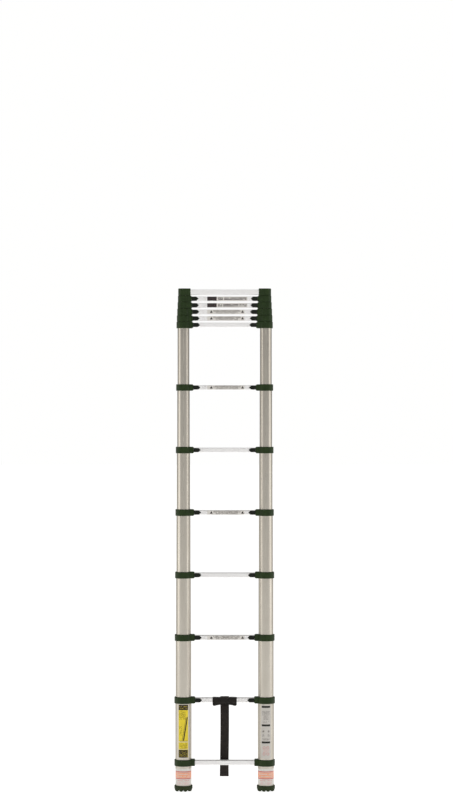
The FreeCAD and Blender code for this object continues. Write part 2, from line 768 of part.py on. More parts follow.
low_collar = bottom_collar()
low_rivet = rivet("bottom_rivet", 1, "Sizes.block_depth", "Sizes.rung_depth")
first_lock = lock_collar(2)
first_rivet = rivet("rung_rivet_02", 1, "Sizes.block_depth", "Sizes.rung_depth")
for number, pieces in ((1, (low_collar, low_rivet)), (2, (first_lock, first_rivet))):
    at_left_stile(pieces[0])
    for piece in pieces:
        move(piece, z=rung_axis(number))
base_left = [low_collar, low_rivet, first_lock, first_rivet]
node("base_collars", base_left + [mirrored(piece) for piece in base_left])
for number in LOCKS[1:]:
    collar = lock_collar(number)
    at_left_stile(collar)
    left = [collar, rivet(f"rung_rivet_{number:02d}", number - 1, "Sizes.block_depth", "Sizes.rung_depth")]
    node(f"lock_collars_{number:02d}", left + [mirrored(piece) for piece in left], rung_axis(number))
cap = top_cap()
at_left_stile(cap)
left = [cap, rivet("top_rivet", SECTIONS[-1], "Sizes.cap_depth", "Sizes.top_rung_depth")]
node("top_caps", left + [mirrored(piece) for piece in left], rung_axis(13))

for number in LOCKS:
    locks(number)

left_foot = foot()
node("feet", [left_foot, mirrored(left_foot)])
node("closure_strap", [sleeve(), strap()], rung_axis(2))

# ---------------------------------------------------------------- checks and files

doc.recompute()
for obj in doc.Objects:
    if "Invalid" in obj.State or "Error" in obj.State:
        raise RuntimeError(f"{obj.Label} did not compute: {obj.State}")
for label, group in SEEN.items():
    if group.Shape.isNull() or not group.Shape.isValid():
        raise RuntimeError(f"{label} has no valid shape")

os.makedirs("parts", exist_ok=True)
for label, group in SEEN.items():
    group.Shape.exportStep(f"parts/{label}.step")
    solids = len(group.Shape.Solids)
    print(f"{label}: {solids} solids, {group.Shape.Volume / 1000:.1f} cm3")
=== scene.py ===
# %% [markdown]
# # A telescoping ladder
# The ladder is two stiles of nested anodised tubes with a rung at every joint. Its metal and
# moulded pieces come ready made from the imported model, which fixes their sizes, so this lesson
# gives them their finish, adds the printed films, and sews the closing strap. Loading comes
# first, because films and cloth are placed by boxes that are read from the frame.

# %% Load the frame
import json
import math

import bmesh
import bpy
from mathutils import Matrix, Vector


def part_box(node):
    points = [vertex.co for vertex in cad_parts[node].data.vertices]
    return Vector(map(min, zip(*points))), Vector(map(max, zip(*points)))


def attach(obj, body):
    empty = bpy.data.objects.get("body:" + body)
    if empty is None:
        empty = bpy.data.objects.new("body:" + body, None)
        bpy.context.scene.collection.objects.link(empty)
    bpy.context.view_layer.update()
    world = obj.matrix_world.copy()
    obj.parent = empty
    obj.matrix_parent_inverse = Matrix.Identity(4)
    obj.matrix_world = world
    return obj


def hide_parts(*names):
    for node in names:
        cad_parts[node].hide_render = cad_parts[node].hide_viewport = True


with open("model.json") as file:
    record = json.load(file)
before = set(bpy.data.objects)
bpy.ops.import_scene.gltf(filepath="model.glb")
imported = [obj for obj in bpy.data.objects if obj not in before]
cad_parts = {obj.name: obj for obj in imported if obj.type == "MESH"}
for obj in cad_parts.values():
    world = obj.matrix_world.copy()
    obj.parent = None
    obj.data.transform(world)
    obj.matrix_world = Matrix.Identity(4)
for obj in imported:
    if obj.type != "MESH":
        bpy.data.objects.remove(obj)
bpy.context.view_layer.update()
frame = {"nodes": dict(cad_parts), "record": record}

# %% [markdown]
# ## Measure the ladder
# A stile node holds a left and a right tube, so its box is the spacing plus one diameter wide
# and one diameter deep. That gives the radius of every tube and the place of both stile axes.
# A thumb slide is centred on its rung, which gives the height of rungs 2 to 12. Rungs 1 and 13
# have no slide, so theirs comes from the rung's own box.

# %% Sizes read from the frame
MM = 0.001
TOP_RUNG = 13


def tube_radius(section):
    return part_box(f"stiles_{section:02d}")[1].y


STILE_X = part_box("stiles_01")[1].x - tube_radius(1)
RUNG_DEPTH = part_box("rung_03")[1].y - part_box("rung_03")[0].y
RUNG_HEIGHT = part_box("rung_03")[1].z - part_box("rung_03")[0].z


def rung_height(rung):
    """Height of a rung's axis above the floor."""
    if rung == 1:
        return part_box("base_rungs")[0].z + RUNG_HEIGHT / 2
    if rung == TOP_RUNG:
        low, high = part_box("rung_13")
    else:
        low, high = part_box(f"release_left_{rung:02d}")
    return (low.z + high.z) / 2


def body_of_rung(rung):
    """The body that a rung is fixed to: rungs 1 and 2 stand on the base tubes."""
    return "base" if rung <= 2 else f"section_{rung - 1:02d}"


heights = [rung_height(rung) for rung in range(1, TOP_RUNG + 1)]
print("stile axes at +-", round(STILE_X / MM, 1), "mm; rungs at", [round(z / MM) for z in heights])

# %% [markdown]
# ## Small helpers for materials
# Every finish below is a node tree round one Principled shader. A few helpers keep the trees
# short: they start a material, add a node and fill its inputs, make noise, stretch a value,
# blend colours, add a bump, and turn a colour as it is seen into the linear numbers that
# Blender computes with.

# %% Material helpers


def seen(red, green, blue):
    """Linear colour for a colour given as 0 to 255 on a screen."""
    channels = []
    for value in (red, green, blue):
        share = value / 255
        channels.append(share / 12.92 if share <= 0.04045 else ((share + 0.055) / 1.055) ** 2.4)
    return (*channels, 1.0)


def start_material(name, **sockets):
    """A material with its Principled shader's own sockets set."""
    material = bpy.data.materials.new(name)
    material.use_nodes = True
    shader = material.node_tree.nodes["Principled BSDF"]
    for socket, value in sockets.items():
        shader.inputs[socket.replace("_", " ")].default_value = value
    return material, material.node_tree, shader


def add(tree, kind, inputs=(), **settings):
    """Add a node, set its options, then fill inputs: {name or number: value or socket}."""
    made = tree.nodes.new(kind)
    for name, value in settings.items():
        setattr(made, name, value)
    for key, value in dict(inputs).items():
        if isinstance(value, bpy.types.NodeSocket):
            tree.links.new(value, made.inputs[key])
        else:
            made.inputs[key].default_value = value
    return made


def stretched(tree, scale, space="Object"):
    """Coordinates for a pattern, stretched by three scales."""
    where = add(tree, "ShaderNodeTexCoord")
    return add(tree, "ShaderNodeMapping", {"Vector": where.outputs[space], "Scale": scale}).outputs[0]


def noise(tree, scale, size=1.0, detail=4.0, roughness=0.55, space="Object"):
    """A noise value, 0 to 1; a high scale along an axis makes it fine along that axis."""
    where = stretched(tree, scale, space)
    inputs = {"Vector": where, "Scale": size, "Detail": detail, "Roughness": roughness}
    return add(tree, "ShaderNodeTexNoise", inputs).outputs["Fac"]


def spread(tree, value, low, high, to_low=0.0, to_high=1.0):
    """Stretch the part of a value between low and high to a new range, clamped."""
    inputs = {"Value": value, "From Min": low, "From Max": high, "To Min": to_low, "To Max": to_high}
    return add(tree, "ShaderNodeMapRange", inputs).outputs[0]


def blend_colours(tree, factor, first, second, kind="MIX"):
    made = tree.nodes.new("ShaderNodeMix")
    made.data_type = "RGBA"
    made.blend_type = kind
    for key, value in ((0, factor), (6, first), (7, second)):
        if isinstance(value, bpy.types.NodeSocket):
            tree.links.new(value, made.inputs[key])
        else:
            made.inputs[key].default_value = value
    return made.outputs[2]


def bump(tree, shader, height, distance, strength=1.0):
    inputs = {"Height": height, "Distance": distance, "Strength": strength}
    made = add(tree, "ShaderNodeBump", inputs)
    tree.links.new(made.outputs[0], shader.inputs["Normal"])


print("helpers ready")

# %% [markdown]
# ## Anodised tube
# The tubes are drawn aluminium with a thin champagne anodised coat. Drawing leaves very fine
# lines along the tube, and the lower end of the tube above polishes faint streaks into it. A
# painted picture would need an unwrapped surface; noise stretched hundreds of times along Z needs
# none and gives lines about as long as the tube. The colour varies by a few percent, the
# roughness a little more, and a shallow bump breaks the highlight into strands. The specular
# tint dims the metal where it curves away, which draws the edge of the tube against white.

# %% Anodised tube material


def anodised_tube():
    material, tree, shader = start_material("anodised_tube", Metallic=1.0)
    shader.inputs["Specular Tint"].default_value = seen(150, 146, 140)
    lines = noise(tree, (900, 900, 1.5), detail=3)
    broad = noise(tree, (40, 40, 1.2), detail=2)
    handling = noise(tree, (9, 9, 5), detail=5, roughness=0.65)
    colour = blend_colours(tree, broad, seen(190, 183, 172), seen(202, 197, 186))
    colour = blend_colours(tree, spread(tree, handling, 0.35, 0.75, 0, 0.35), colour, seen(188, 179, 167))
    tree.links.new(colour, shader.inputs["Base Color"])
    streak = spread(tree, lines, 0.3, 0.7, 0.24, 0.34)
    smear = spread(tree, handling, 0.4, 0.8, 0, 0.10)
    rough = add(tree, "ShaderNodeMath", {0: streak, 1: smear}, operation="ADD")
    tree.links.new(rough.outputs[0], shader.inputs["Roughness"])
    bump(tree, shader, lines, 0.00006, 0.5)
    return material


# %% [markdown]
# ## Rung aluminium
# The rungs are extruded: the die draws lines along X instead of Z, and the bars are brighter
# and duller than the anodised tubes. Feet scuff the tread, so patches are rougher.

# %% Rung material


def rung_aluminium():
    material, tree, shader = start_material("rung_aluminium", Metallic=0.45)
    lines = noise(tree, (1.5, 700, 700), detail=3)
    bands = noise(tree, (0.6, 160, 160), detail=1)
    scuffs = noise(tree, (60, 140, 60), detail=6, roughness=0.7)
    colour = blend_colours(tree, bands, seen(240, 238, 237), seen(253, 252, 251))
    colour = blend_colours(tree, spread(tree, scuffs, 0.55, 0.8, 0, 0.3), colour, seen(212, 209, 207))
    tree.links.new(colour, shader.inputs["Base Color"])
    rough = spread(tree, lines, 0.3, 0.7, 0.38, 0.52)
    tree.links.new(rough, shader.inputs["Roughness"])
    bump(tree, shader, lines, 0.00008, 0.6)
    return material


# %% [markdown]
# ## Moulded plastics and rubber
# Collars and caps are forest green nylon with a fine spark-eroded grain, the thumb slides are
# the same plastic almost black, and the feet are softer and duller. One function makes all
# three: the grain is a small noise in the bump, a larger one varies the colour, and the grey
# bloom of handling shows as slightly lighter patches.

# %% Moulded materials


def moulded(name, colour, bloom, rough, grain, depth):
    material, tree, shader = start_material(name, Specular_IOR_Level=0.22)
    texture = noise(tree, (1, 1, 1), size=grain, detail=2)
    cloud = noise(tree, (1, 1, 1), size=45, detail=5, roughness=0.6)
    tint = blend_colours(tree, spread(tree, cloud, 0.4, 0.75, 0, 0.5), colour, bloom)
    tint = blend_colours(tree, spread(tree, texture, 0.2, 0.8, 0, 0.25), tint, bloom)
    tree.links.new(tint, shader.inputs["Base Color"])
    tree.links.new(spread(tree, cloud, 0.3, 0.7, rough - 0.06, rough + 0.08), shader.inputs["Roughness"])
    bump(tree, shader, texture, depth, 0.6)
    return material


# %% [markdown]
# ## Give the CAD nodes their finish
# A node keeps its shape and only its material slot changes, so every piece that is right as it
# comes is finished in one loop. The record says which finish a node has.

# %% Assign materials
finishes = {
    "anodised_tube": anodised_tube(),
    "rung_aluminium": rung_aluminium(),
    "green_plastic": moulded("green_plastic", seen(25, 42, 9), seen(46, 66, 26), 0.45, 1400, 0.00018),
    "black_plastic": moulded("black_plastic", seen(12, 17, 9), seen(28, 33, 22), 0.48, 1600, 0.00015),
    "green_rubber": moulded("green_rubber", seen(30, 42, 16), seen(60, 70, 44), 0.65, 900, 0.00025),
}
slot_of = {part["node"]: part["material_slot"] for part in frame["record"]["subparts"]}
for name, node in frame["nodes"].items():
    if slot_of[name] in finishes:
        node.data.materials.clear()
        node.data.materials.append(finishes[slot_of[name]])
print(len(frame["nodes"]), "nodes finished from", len(finishes), "materials")

# %% [markdown]
# ## Helpers for node trees that make geometry
# Two things on the ladder repeat by the hundred: the little marks of print on the films, and
# the stitches in the cloth. Each comes from a Geometry Nodes tree with its sizes as named
# inputs. A tree's result is turned into a plain mesh as soon as it is made, so nothing stays
# live on a piece.

# %% Geometry Nodes helpers


def start_tree(name, inputs):
    """A geometry tree with named inputs; returns the tree and a dictionary of input sockets."""
    tree = bpy.data.node_groups.new(name, "GeometryNodeTree")
    tree.interface.new_socket("Geometry", in_out="INPUT", socket_type="NodeSocketGeometry")
    for label, kind in inputs.items():
        tree.interface.new_socket(label, in_out="INPUT", socket_type=f"NodeSocket{kind}")
    tree.interface.new_socket("Geometry", in_out="OUTPUT", socket_type="NodeSocketGeometry")
    given = tree.nodes.new("NodeGroupInput")
    return tree, {socket.name: socket for socket in given.outputs}


def finish_tree(tree, geometry, material):
    """End a tree in Realize Instances and Set Material."""
    real = add(tree, "GeometryNodeRealizeInstances", {"Geometry": geometry})
    painted = add(tree, "GeometryNodeSetMaterial", {"Geometry": real.outputs[0], "Material": material})
    out = tree.nodes.new("NodeGroupOutput")
    tree.links.new(painted.outputs[0], out.inputs["Geometry"])


def maths(tree, operation, first, second=0.0):
    return add(tree, "ShaderNodeMath", {0: first, 1: second}, operation=operation).outputs[0]


def link_piece(name, mesh, body):
    """Put a finished mesh in the scene as a piece that rides on a body."""
    piece = bpy.data.objects.new(name, mesh)
    bpy.context.scene.collection.objects.link(piece)
    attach(piece, body)
    return piece


def grow(tree, values, data=None):
    """The plain mesh that a tree gives for named input values, grown from an object's data."""
    data = data or bpy.data.meshes.new("seed")
    seed = bpy.data.objects.new("seed", data)
    bpy.context.scene.collection.objects.link(seed)
    modifier = seed.modifiers.new("grow", "NODES")
    modifier.node_group = tree
    names = {item.name: item.identifier for item in tree.interface.items_tree if item.in_out == "INPUT"}
    for label, value in values.items():
        modifier[names[label]] = value
    shown = seed.evaluated_get(bpy.context.evaluated_depsgraph_get())
    mesh = bpy.data.meshes.new_from_object(shown)
    bpy.data.objects.remove(seed)
    return mesh


def join_meshes(name, meshes):
    """One mesh from several, keeping their materials."""
    joined = bmesh.new()
    slots = []
    for mesh in meshes:
        start = len(joined.faces)
        joined.from_mesh(mesh)
        joined.faces.ensure_lookup_table()
        for face in joined.faces[start:]:
            material = mesh.materials[face.material_index]
            if material not in slots:
                slots.append(material)
            face.material_index = slots.index(material)
    made = bpy.data.meshes.new(name)
    joined.to_mesh(made)
    joined.free()
    for material in slots:
        made.materials.append(material)
    return made


# %% [markdown]
# ## Where a film lies
# A film is drawn flat, with u across and v up, and then laid on a surface. On a rung that is
# the flat front face; on a stile it is the front of a round tube, where u runs along the arc.
# Both are a "place": a radius (nought for flat), an axis position and a height. The same rule
# is written twice, once in Python for the films and once as nodes for the print on them.

# %% Places for films


def on_tube(side, section, height):
    """Front of the left (-1) or right (1) tube of a section, at a height."""
    return {"radius": tube_radius(section), "centre": Vector((side * STILE_X, 0, height))}


def on_rung(rung):
    """Front face of a rung, at its axis."""
    return {"radius": 0.0, "centre": Vector((0, -RUNG_DEPTH / 2, rung_height(rung)))}


def lay(place, u, v, lift):
    """The point on a place for flat coordinates and a height above the surface."""
    centre, radius = place["centre"], place["radius"]
    if radius == 0:
        return Vector((centre.x + u, centre.y - lift, centre.z + v))
    angle = u / radius
    reach = radius + lift
    return Vector((centre.x + reach * math.sin(angle), centre.y - reach * math.cos(angle), centre.z + v))


def film_mesh(place, material, left, right, low, high, lift=0.0, thick=0.00012, corner=0.0015):
    """A thin closed film with rounded corners, bent to its place."""
    corner = min(corner, (high - low) / 2, (right - left) / 2)
    turns = [0, 0.12, 0.3, 0.6, 1.0]
    columns = [left + corner * t for t in turns]
    middle = 24 if place["radius"] else 1
    span = right - left - 2 * corner
    columns += [left + corner + span * i / middle for i in range(1, middle)]
    columns += [right - corner * t for t in reversed(turns)]
    made = bmesh.new()
    rings = []
    for u in columns:
        inset = min(u - left, right - u, corner)
        cut = corner - math.sqrt(max(0.0, corner ** 2 - (corner - inset) ** 2))
        ends = (low + cut, high - cut)
        ring = [made.verts.new(lay(place, u, v, lift + rise)) for v in ends for rise in (0, thick)]
        rings.append(ring)
    for a, b in zip(rings, rings[1:]):
        for i, j in ((1, 3), (3, 2), (2, 0), (0, 1)):
            made.faces.new((a[i], b[i], b[j], a[j]))
    for ring in (rings[0], rings[-1]):
        made.faces.new((ring[0], ring[1], ring[3], ring[2]))
    bmesh.ops.remove_doubles(made, verts=made.verts, dist=1e-7)
    bmesh.ops.recalc_face_normals(made, faces=made.faces)
    mesh = bpy.data.meshes.new("film")
    made.to_mesh(mesh)
    made.free()
    mesh.materials.append(material)
    return mesh


print("films can lie on tubes and rungs")

# %% [markdown]
# ## Lines of print
# Real labels carry small text. Here it is only its texture: rows of tiny raised bars of uneven
# length with gaps like the gaps between words, and no letters. A grid gives one point for each
# possible bar, chance removes some, and each point that is left gets a bar. The last step bends
# the whole sheet of bars round the tube with the same rule that lays the films.

# %% The print tree


def print_tree():
    sizes = {
        "Width": "Float", "Height": "Float", "Columns": "Int", "Rows": "Int", "Mark height": "Float",
        "Shortest": "Float", "Longest": "Float", "Kept": "Float", "Seed": "Int",
        "Across": "Float", "Radius": "Float", "Lift": "Float", "Centre": "Vector", "Ink": "Material",
    }
    tree, given = start_tree("lines_of_print", sizes)
    cells = {"Size X": given["Width"], "Size Y": given["Height"],
             "Vertices X": given["Columns"], "Vertices Y": given["Rows"]}
    grid = add(tree, "GeometryNodeMeshGrid", cells)
    chance = tree.nodes.new("FunctionNodeRandomValue")
    chance.data_type = "BOOLEAN"
    tree.links.new(given["Kept"], chance.inputs["Probability"])
    tree.links.new(given["Seed"], chance.inputs["Seed"])
    bar = add(tree, "GeometryNodeMeshCube", {"Size": (1, 1, 1), "Vertices X": 4})
    length = tree.nodes.new("FunctionNodeRandomValue")
    length.data_type = "FLOAT"
    numbers = [socket for socket in length.inputs if socket.type == "VALUE"]
    tree.links.new(given["Shortest"], numbers[0])
    tree.links.new(given["Longest"], numbers[1])
    tree.links.new(maths(tree, "ADD", given["Seed"], 7), length.inputs["Seed"])
    lengths = [socket for socket in length.outputs if socket.type == "VALUE"]
    scale = add(tree, "ShaderNodeCombineXYZ", {0: lengths[0], 1: given["Mark height"], 2: 0.00008})
    placed = add(tree, "GeometryNodeInstanceOnPoints", {
        "Points": grid.outputs[0], "Selection": chance.outputs[3],
        "Instance": bar.outputs[0], "Scale": scale.outputs[0],
    })
    real = add(tree, "GeometryNodeRealizeInstances", {"Geometry": placed.outputs[0]})
    where = add(tree, "ShaderNodeSeparateXYZ", {0: add(tree, "GeometryNodeInputPosition").outputs[0]})
    across = maths(tree, "ADD", where.outputs[0], given["Across"])
    lift = maths(tree, "ADD", where.outputs[2], given["Lift"])
    reach = maths(tree, "ADD", given["Radius"], lift)
    angle = maths(tree, "DIVIDE", across, maths(tree, "MAXIMUM", given["Radius"], 1e-6))
    round_x = maths(tree, "MULTIPLY", reach, maths(tree, "SINE", angle))
    round_y = maths(tree, "MULTIPLY", maths(tree, "MULTIPLY", reach, -1), maths(tree, "COSINE", angle))
    bent = add(tree, "ShaderNodeCombineXYZ", {0: round_x, 1: round_y, 2: where.outputs[1]})
    down = maths(tree, "MULTIPLY", lift, -1)
    flat = add(tree, "ShaderNodeCombineXYZ", {0: across, 1: down, 2: where.outputs[1]})
    is_round = add(tree, "FunctionNodeCompare", {0: given["Radius"], 1: 0.0}, operation="GREATER_THAN")
    chosen = add(tree, "GeometryNodeSwitch", input_type="VECTOR")
    tree.links.new(is_round.outputs[0], chosen.inputs["Switch"])
    tree.links.new(flat.outputs[0], chosen.inputs["False"])
    tree.links.new(bent.outputs[0], chosen.inputs["True"])
    moved = add(tree, "ShaderNodeVectorMath", {0: chosen.outputs[0], 1: given["Centre"]}, operation="ADD")
    laid = add(tree, "GeometryNodeSetPosition", {"Geometry": real.outputs[0], "Position": moved.outputs[0]})
    finish_tree(tree, laid.outputs[0], given["Ink"])
    return tree


PRINT = print_tree()


def print_mesh(place, ink, middle, size, grid, mark, kept=0.8, seed=1, lift=0.00016):
    """Rows of marks: middle and size of the block, (columns, rows), (height, shortest, longest)."""
    centre = place["centre"] + Vector((0, 0, middle[1]))
    longest = min(mark[2], 0.93 * size[0] / (grid[0] - 1))
    return grow(PRINT, {
        "Width": size[0], "Height": size[1], "Columns": grid[0], "Rows": grid[1],
        "Mark height": mark[0], "Shortest": min(mark[1], longest), "Longest": longest,
        "Kept": kept, "Seed": seed, "Across": middle[0], "Radius": place["radius"],
        "Lift": lift, "Centre": centre, "Ink": ink,
    })


sample_mark = (0.001, 0.002, 0.004)
sample = print_mesh(on_rung(3), finishes["black_plastic"], (0, 0), (0.1, 0.01), (20, 3), sample_mark)
print("a block of print has", len(sample.polygons), "faces")
bpy.data.meshes.remove(sample)

# %% [markdown]
# ## Inks and films
# A printed film has a base layer and layers of ink on it. All are the same glossy plastic in
# different colours, with a little fading and dust so that no area is one flat tone.

# %% Film materials


def film(name, colour, worn, rough=0.32):
    material, tree, shader = start_material(name, Specular_IOR_Level=0.35)
    fade = noise(tree, (1, 1, 1), size=30, detail=5, roughness=0.65)
    specks = noise(tree, (1, 1, 1), size=900, detail=2)
    tint = blend_colours(tree, spread(tree, fade, 0.35, 0.8, 0, 0.45), colour, worn)
    tint = blend_colours(tree, spread(tree, specks, 0.6, 0.85, 0, 0.3), tint, worn)
    tree.links.new(tint, shader.inputs["Base Color"])
    tree.links.new(spread(tree, fade, 0.3, 0.7, rough, rough + 0.15), shader.inputs["Roughness"])
    bump(tree, shader, fade, 0.0002, 0.25)
    return material


YELLOW = film("yellow_film", seen(236, 212, 48), seen(214, 188, 54))
WHITE = film("white_film", seen(222, 218, 212), seen(206, 201, 194))
SILVER = film("silver_film", seen(204, 199, 192), seen(190, 184, 176))
BLACK_INK = film("black_ink", seen(22, 20, 12), seen(46, 42, 30))
BROWN_INK = film("brown_ink", seen(48, 38, 8), seen(76, 64, 28), 0.4)
GREY_INK = film("grey_ink", seen(92, 84, 80), seen(124, 116, 110))
PALE_INK = film("pale_ink", seen(158, 152, 148), seen(182, 176, 172))
PLUM_INK = film("plum_ink", seen(28, 14, 17), seen(46, 28, 32))
RED_INK = film("red_ink", seen(206, 96, 86), seen(218, 128, 112))
SALMON_INK = film("salmon_ink", seen(238, 164, 132), seen(244, 190, 160))
PINK_INK = film("pink_ink", seen(226, 160, 160), seen(230, 186, 182))

# %% [markdown]
# ## The yellow film on the left stile
# It has a dark header, a yellow field with a few rows of print and a picture of a leaning
# ladder, and a dark block at the foot. The picture is generic: two slanting rails, one of them
# thin, and the ground.

# %% Yellow film
LABEL_LOW = 0.165
LABEL_HIGH = 0.422
LABEL_HALF = 0.0245


def leaning_bar(place, ink, foot, head, width):
    """A slanting bar of ink from foot to head, given as (u, v)."""
    made = bmesh.new()
    run = Vector(head) - Vector(foot)
    across = Vector((run.y, -run.x)).normalized() * width / 2
    flat = [Vector(foot) + across, Vector(head) + across, Vector(head) - across, Vector(foot) - across]
    steps = 8
    sides = [(flat[0], flat[1]), (flat[3], flat[2])]
    rows = []
    for i in range(steps + 1):
        points = [start.lerp(end, i / steps) for start, end in sides]
        rows.append([made.verts.new(lay(place, p.x, p.y, rise)) for p in points for rise in (0.0001, 0.0003)])
    for a, b in zip(rows, rows[1:]):
        for i, j in ((1, 3), (3, 2), (2, 0), (0, 1)):
            made.faces.new((a[i], b[i], b[j], a[j]))
    for ring in (rows[0], rows[-1]):
        made.faces.new((ring[0], ring[1], ring[3], ring[2]))
    bmesh.ops.recalc_face_normals(made, faces=made.faces)
    mesh = bpy.data.meshes.new("bar")
    made.to_mesh(mesh)
    made.free()
    mesh.materials.append(ink)
    return mesh


def yellow_film():
    place = on_tube(-1, 1, 0.0)
    high, low, half = LABEL_HIGH, LABEL_LOW, LABEL_HALF
    parts = [
        film_mesh(place, YELLOW, -half, half, low, high),
        film_mesh(place, BROWN_INK, -half, half, high - 0.026, high, lift=0.0001),
        film_mesh(place, BROWN_INK, -half, half - 0.002, low, low + 0.038, lift=0.0001),
        film_mesh(place, WHITE, -half, half, low + 0.075, low + 0.0775, lift=0.0001, corner=0.0001),
        film_mesh(place, WHITE, -half, half, low + 0.0400, low + 0.0415, lift=0.0001, corner=0.0001),
        leaning_bar(place, BROWN_INK, (0.0005, low + 0.083), (0.0200, low + 0.196), 0.0058),
        leaning_bar(place, BROWN_INK, (-0.0065, low + 0.083), (0.0140, low + 0.196), 0.0014),
        leaning_bar(place, BROWN_INK, (-0.020, low + 0.081), (0.021, low + 0.081), 0.0016),
    ]
    rows, fine = (0.0016, 0.002, 0.005), (0.001, 0.002, 0.005)
    blocks = [
        # ink, middle, size, (columns, rows), marks, kept, seed, lift
        (YELLOW, (0, high - 0.013), (0.038, 0.008), (14, 2), rows, 0.7, 3, 0.00026),
        (BROWN_INK, (-0.005, high - 0.052), (0.030, 0.036), (11, 10), rows, 0.75, 5),
        (BROWN_INK, (-0.013, low + 0.130), (0.012, 0.040), (4, 10), rows, 0.6, 8),
        (BROWN_INK, (0, low + 0.058), (0.036, 0.026), (12, 7), rows, 0.75, 11),
        (YELLOW, (-0.001, low + 0.018), (0.034, 0.022), (11, 6), fine, 0.6, 13, 0.00026),
    ]
    parts += [print_mesh(place, *block) for block in blocks]
    return link_piece("yellow_film", join_meshes("yellow_film", parts), "base")


piece = yellow_film()
print("yellow film:", len(piece.data.polygons), "faces")

# %% [markdown]
# ## The pale film on the right stile
# The other base tube has a pale film with three short dark bars, blocks of small print between
# them, and faint pink round shapes near the foot.

# %% Pale film


def ring_mesh(place, ink, middle, radius, width):
    """A flat ring of ink round a point of a place."""
    made = bmesh.new()
    count = 20
    loops = []
    for i in range(count):
        turn = 2 * math.pi * i / count
        loop = []
        for reach in (radius - width, radius):
            for rise in (0.0001, 0.0003):
                u, v = middle[0] + reach * math.sin(turn), middle[1] + reach * math.cos(turn)
                loop.append(made.verts.new(lay(place, u, v, rise)))
        loops.append(loop)
    for i, a in enumerate(loops):
        b = loops[(i + 1) % count]
        for j, k in ((1, 3), (3, 2), (2, 0), (0, 1)):
            made.faces.new((a[j], b[j], b[k], a[k]))
    bmesh.ops.recalc_face_normals(made, faces=made.faces)
    mesh = bpy.data.meshes.new("ring")
    made.to_mesh(mesh)
    made.free()
    mesh.materials.append(ink)
    return mesh


def pale_film():
    place = on_tube(1, 1, 0.010)
    half = LABEL_HALF + 0.001
    parts = [film_mesh(place, SILVER, -half, half, 0.151, 0.412)]
    for middle in (0.402, 0.312, 0.229):
        low, high = middle - 0.0048, middle + 0.0048
        parts.append(film_mesh(place, BLACK_INK, -0.0215, 0.0215, low, high, lift=0.0001))
    rows = (0.0015, 0.002, 0.006)
    parts.append(print_mesh(place, GREY_INK, (0, 0.371), (0.034, 0.018), (11, 6), rows, 0.8, 21))
    parts.append(print_mesh(place, GREY_INK, (0, 0.348), (0.020, 0.016), (7, 5), rows, 0.8, 22))
    parts.append(print_mesh(place, GREY_INK, (0, 0.329), (0.028, 0.005), (9, 2), rows, 0.7, 23))
    for u in (-0.013, 0.013):
        parts.append(print_mesh(place, GREY_INK, (u, 0.283), (0.007, 0.007), (4, 4), rows, 0.9, 24))
        parts.append(print_mesh(place, GREY_INK, (u, 0.262), (0.007, 0.010), (4, 4), rows, 0.6, 25))
    parts.append(print_mesh(place, GREY_INK, (0, 0.244), (0.032, 0.007), (11, 3), rows, 0.8, 26))
    for v in (0.203, 0.173):
        for u in (-0.009, 0.009):
            parts.append(ring_mesh(place, RED_INK, (u, v), 0.0065, 0.0014))
    parts.append(print_mesh(place, PINK_INK, (0, 0.188), (0.028, 0.012), (9, 4), rows, 0.8, 27))
    return link_piece("pale_film", join_meshes("pale_film", parts), "base")


piece = pale_film()
print("pale film:", len(piece.data.polygons), "faces")

# %% [markdown]
# ## The bands over the feet
# Under each bottom collar a band goes round the front of the tube: white film, two red lines
# and a salmon strip with a pale row of marks between them.

# %% Foot bands


def foot_band(side):
    place = on_tube(side, 1, 0.012)
    half = place["radius"] * 1.45
    parts = [
        film_mesh(place, WHITE, -half, half, 0.020, 0.098),
        film_mesh(place, RED_INK, -half, half, 0.0815, 0.0860, lift=0.0001, corner=0.0001),
        film_mesh(place, SALMON_INK, -half, half, 0.0540, 0.0800, lift=0.0001, corner=0.0001),
        film_mesh(place, RED_INK, -half, half, 0.0480, 0.0525, lift=0.0001, corner=0.0001),
    ]
    marks, seed = (0.0036, 0.003, 0.0066), 31 + side
    parts.append(print_mesh(place, WHITE, (0, 0.067), (0.070, 0.010), (12, 2), marks, 0.85, seed, 0.00026))
    low_rows = (0.0014, 0.002, 0.005)
    parts.append(print_mesh(place, RED_INK, (0, 0.041), (0.060, 0.003), (16, 2), low_rows, 0.7, 33))
    parts.append(print_mesh(place, PINK_INK, (0, 0.028), (0.064, 0.010), (16, 4), low_rows, 0.8, 35))
    return join_meshes("foot_band", parts)


for side, word in ((-1, "left"), (1, "right")):
    piece = link_piece(f"foot_band_{word}", foot_band(side), "base")
print("right foot band:", len(piece.data.polygons), "faces")

# %% [markdown]
# ## Strips on the rungs
# Rungs 3, 5, 7, 9 and 10 have a white strip with rows of small print between two dark
# triangles, and rungs 11 and 12 have a dark block followed by larger grey print. All carry
# faint hatching beside the thumb slides. Each strip rides on the body of its rung.

# %% Rung strips


def triangle_mesh(place, ink, middle, size):
    """A small solid triangle, a generic mark with nothing in it."""
    made = bmesh.new()
    corners = [(-size, -size * 0.8), (size, -size * 0.8), (0, size)]
    under, over = [
        [made.verts.new(lay(place, middle[0] + u, middle[1] + v, rise)) for u, v in corners]
        for rise in (0.0001, 0.0003)
    ]
    made.faces.new(over)
    made.faces.new(under)
    for i in range(3):
        made.faces.new((under[i], under[(i + 1) % 3], over[(i + 1) % 3], over[i]))
    bmesh.ops.recalc_face_normals(made, faces=made.faces)
    mesh = bpy.data.meshes.new("triangle")
    made.to_mesh(mesh)
    made.free()
    mesh.materials.append(ink)
    return mesh


STRIP_HALF = RUNG_HEIGHT / 2 - 0.0014
STRIP_MIDDLE = 0.009


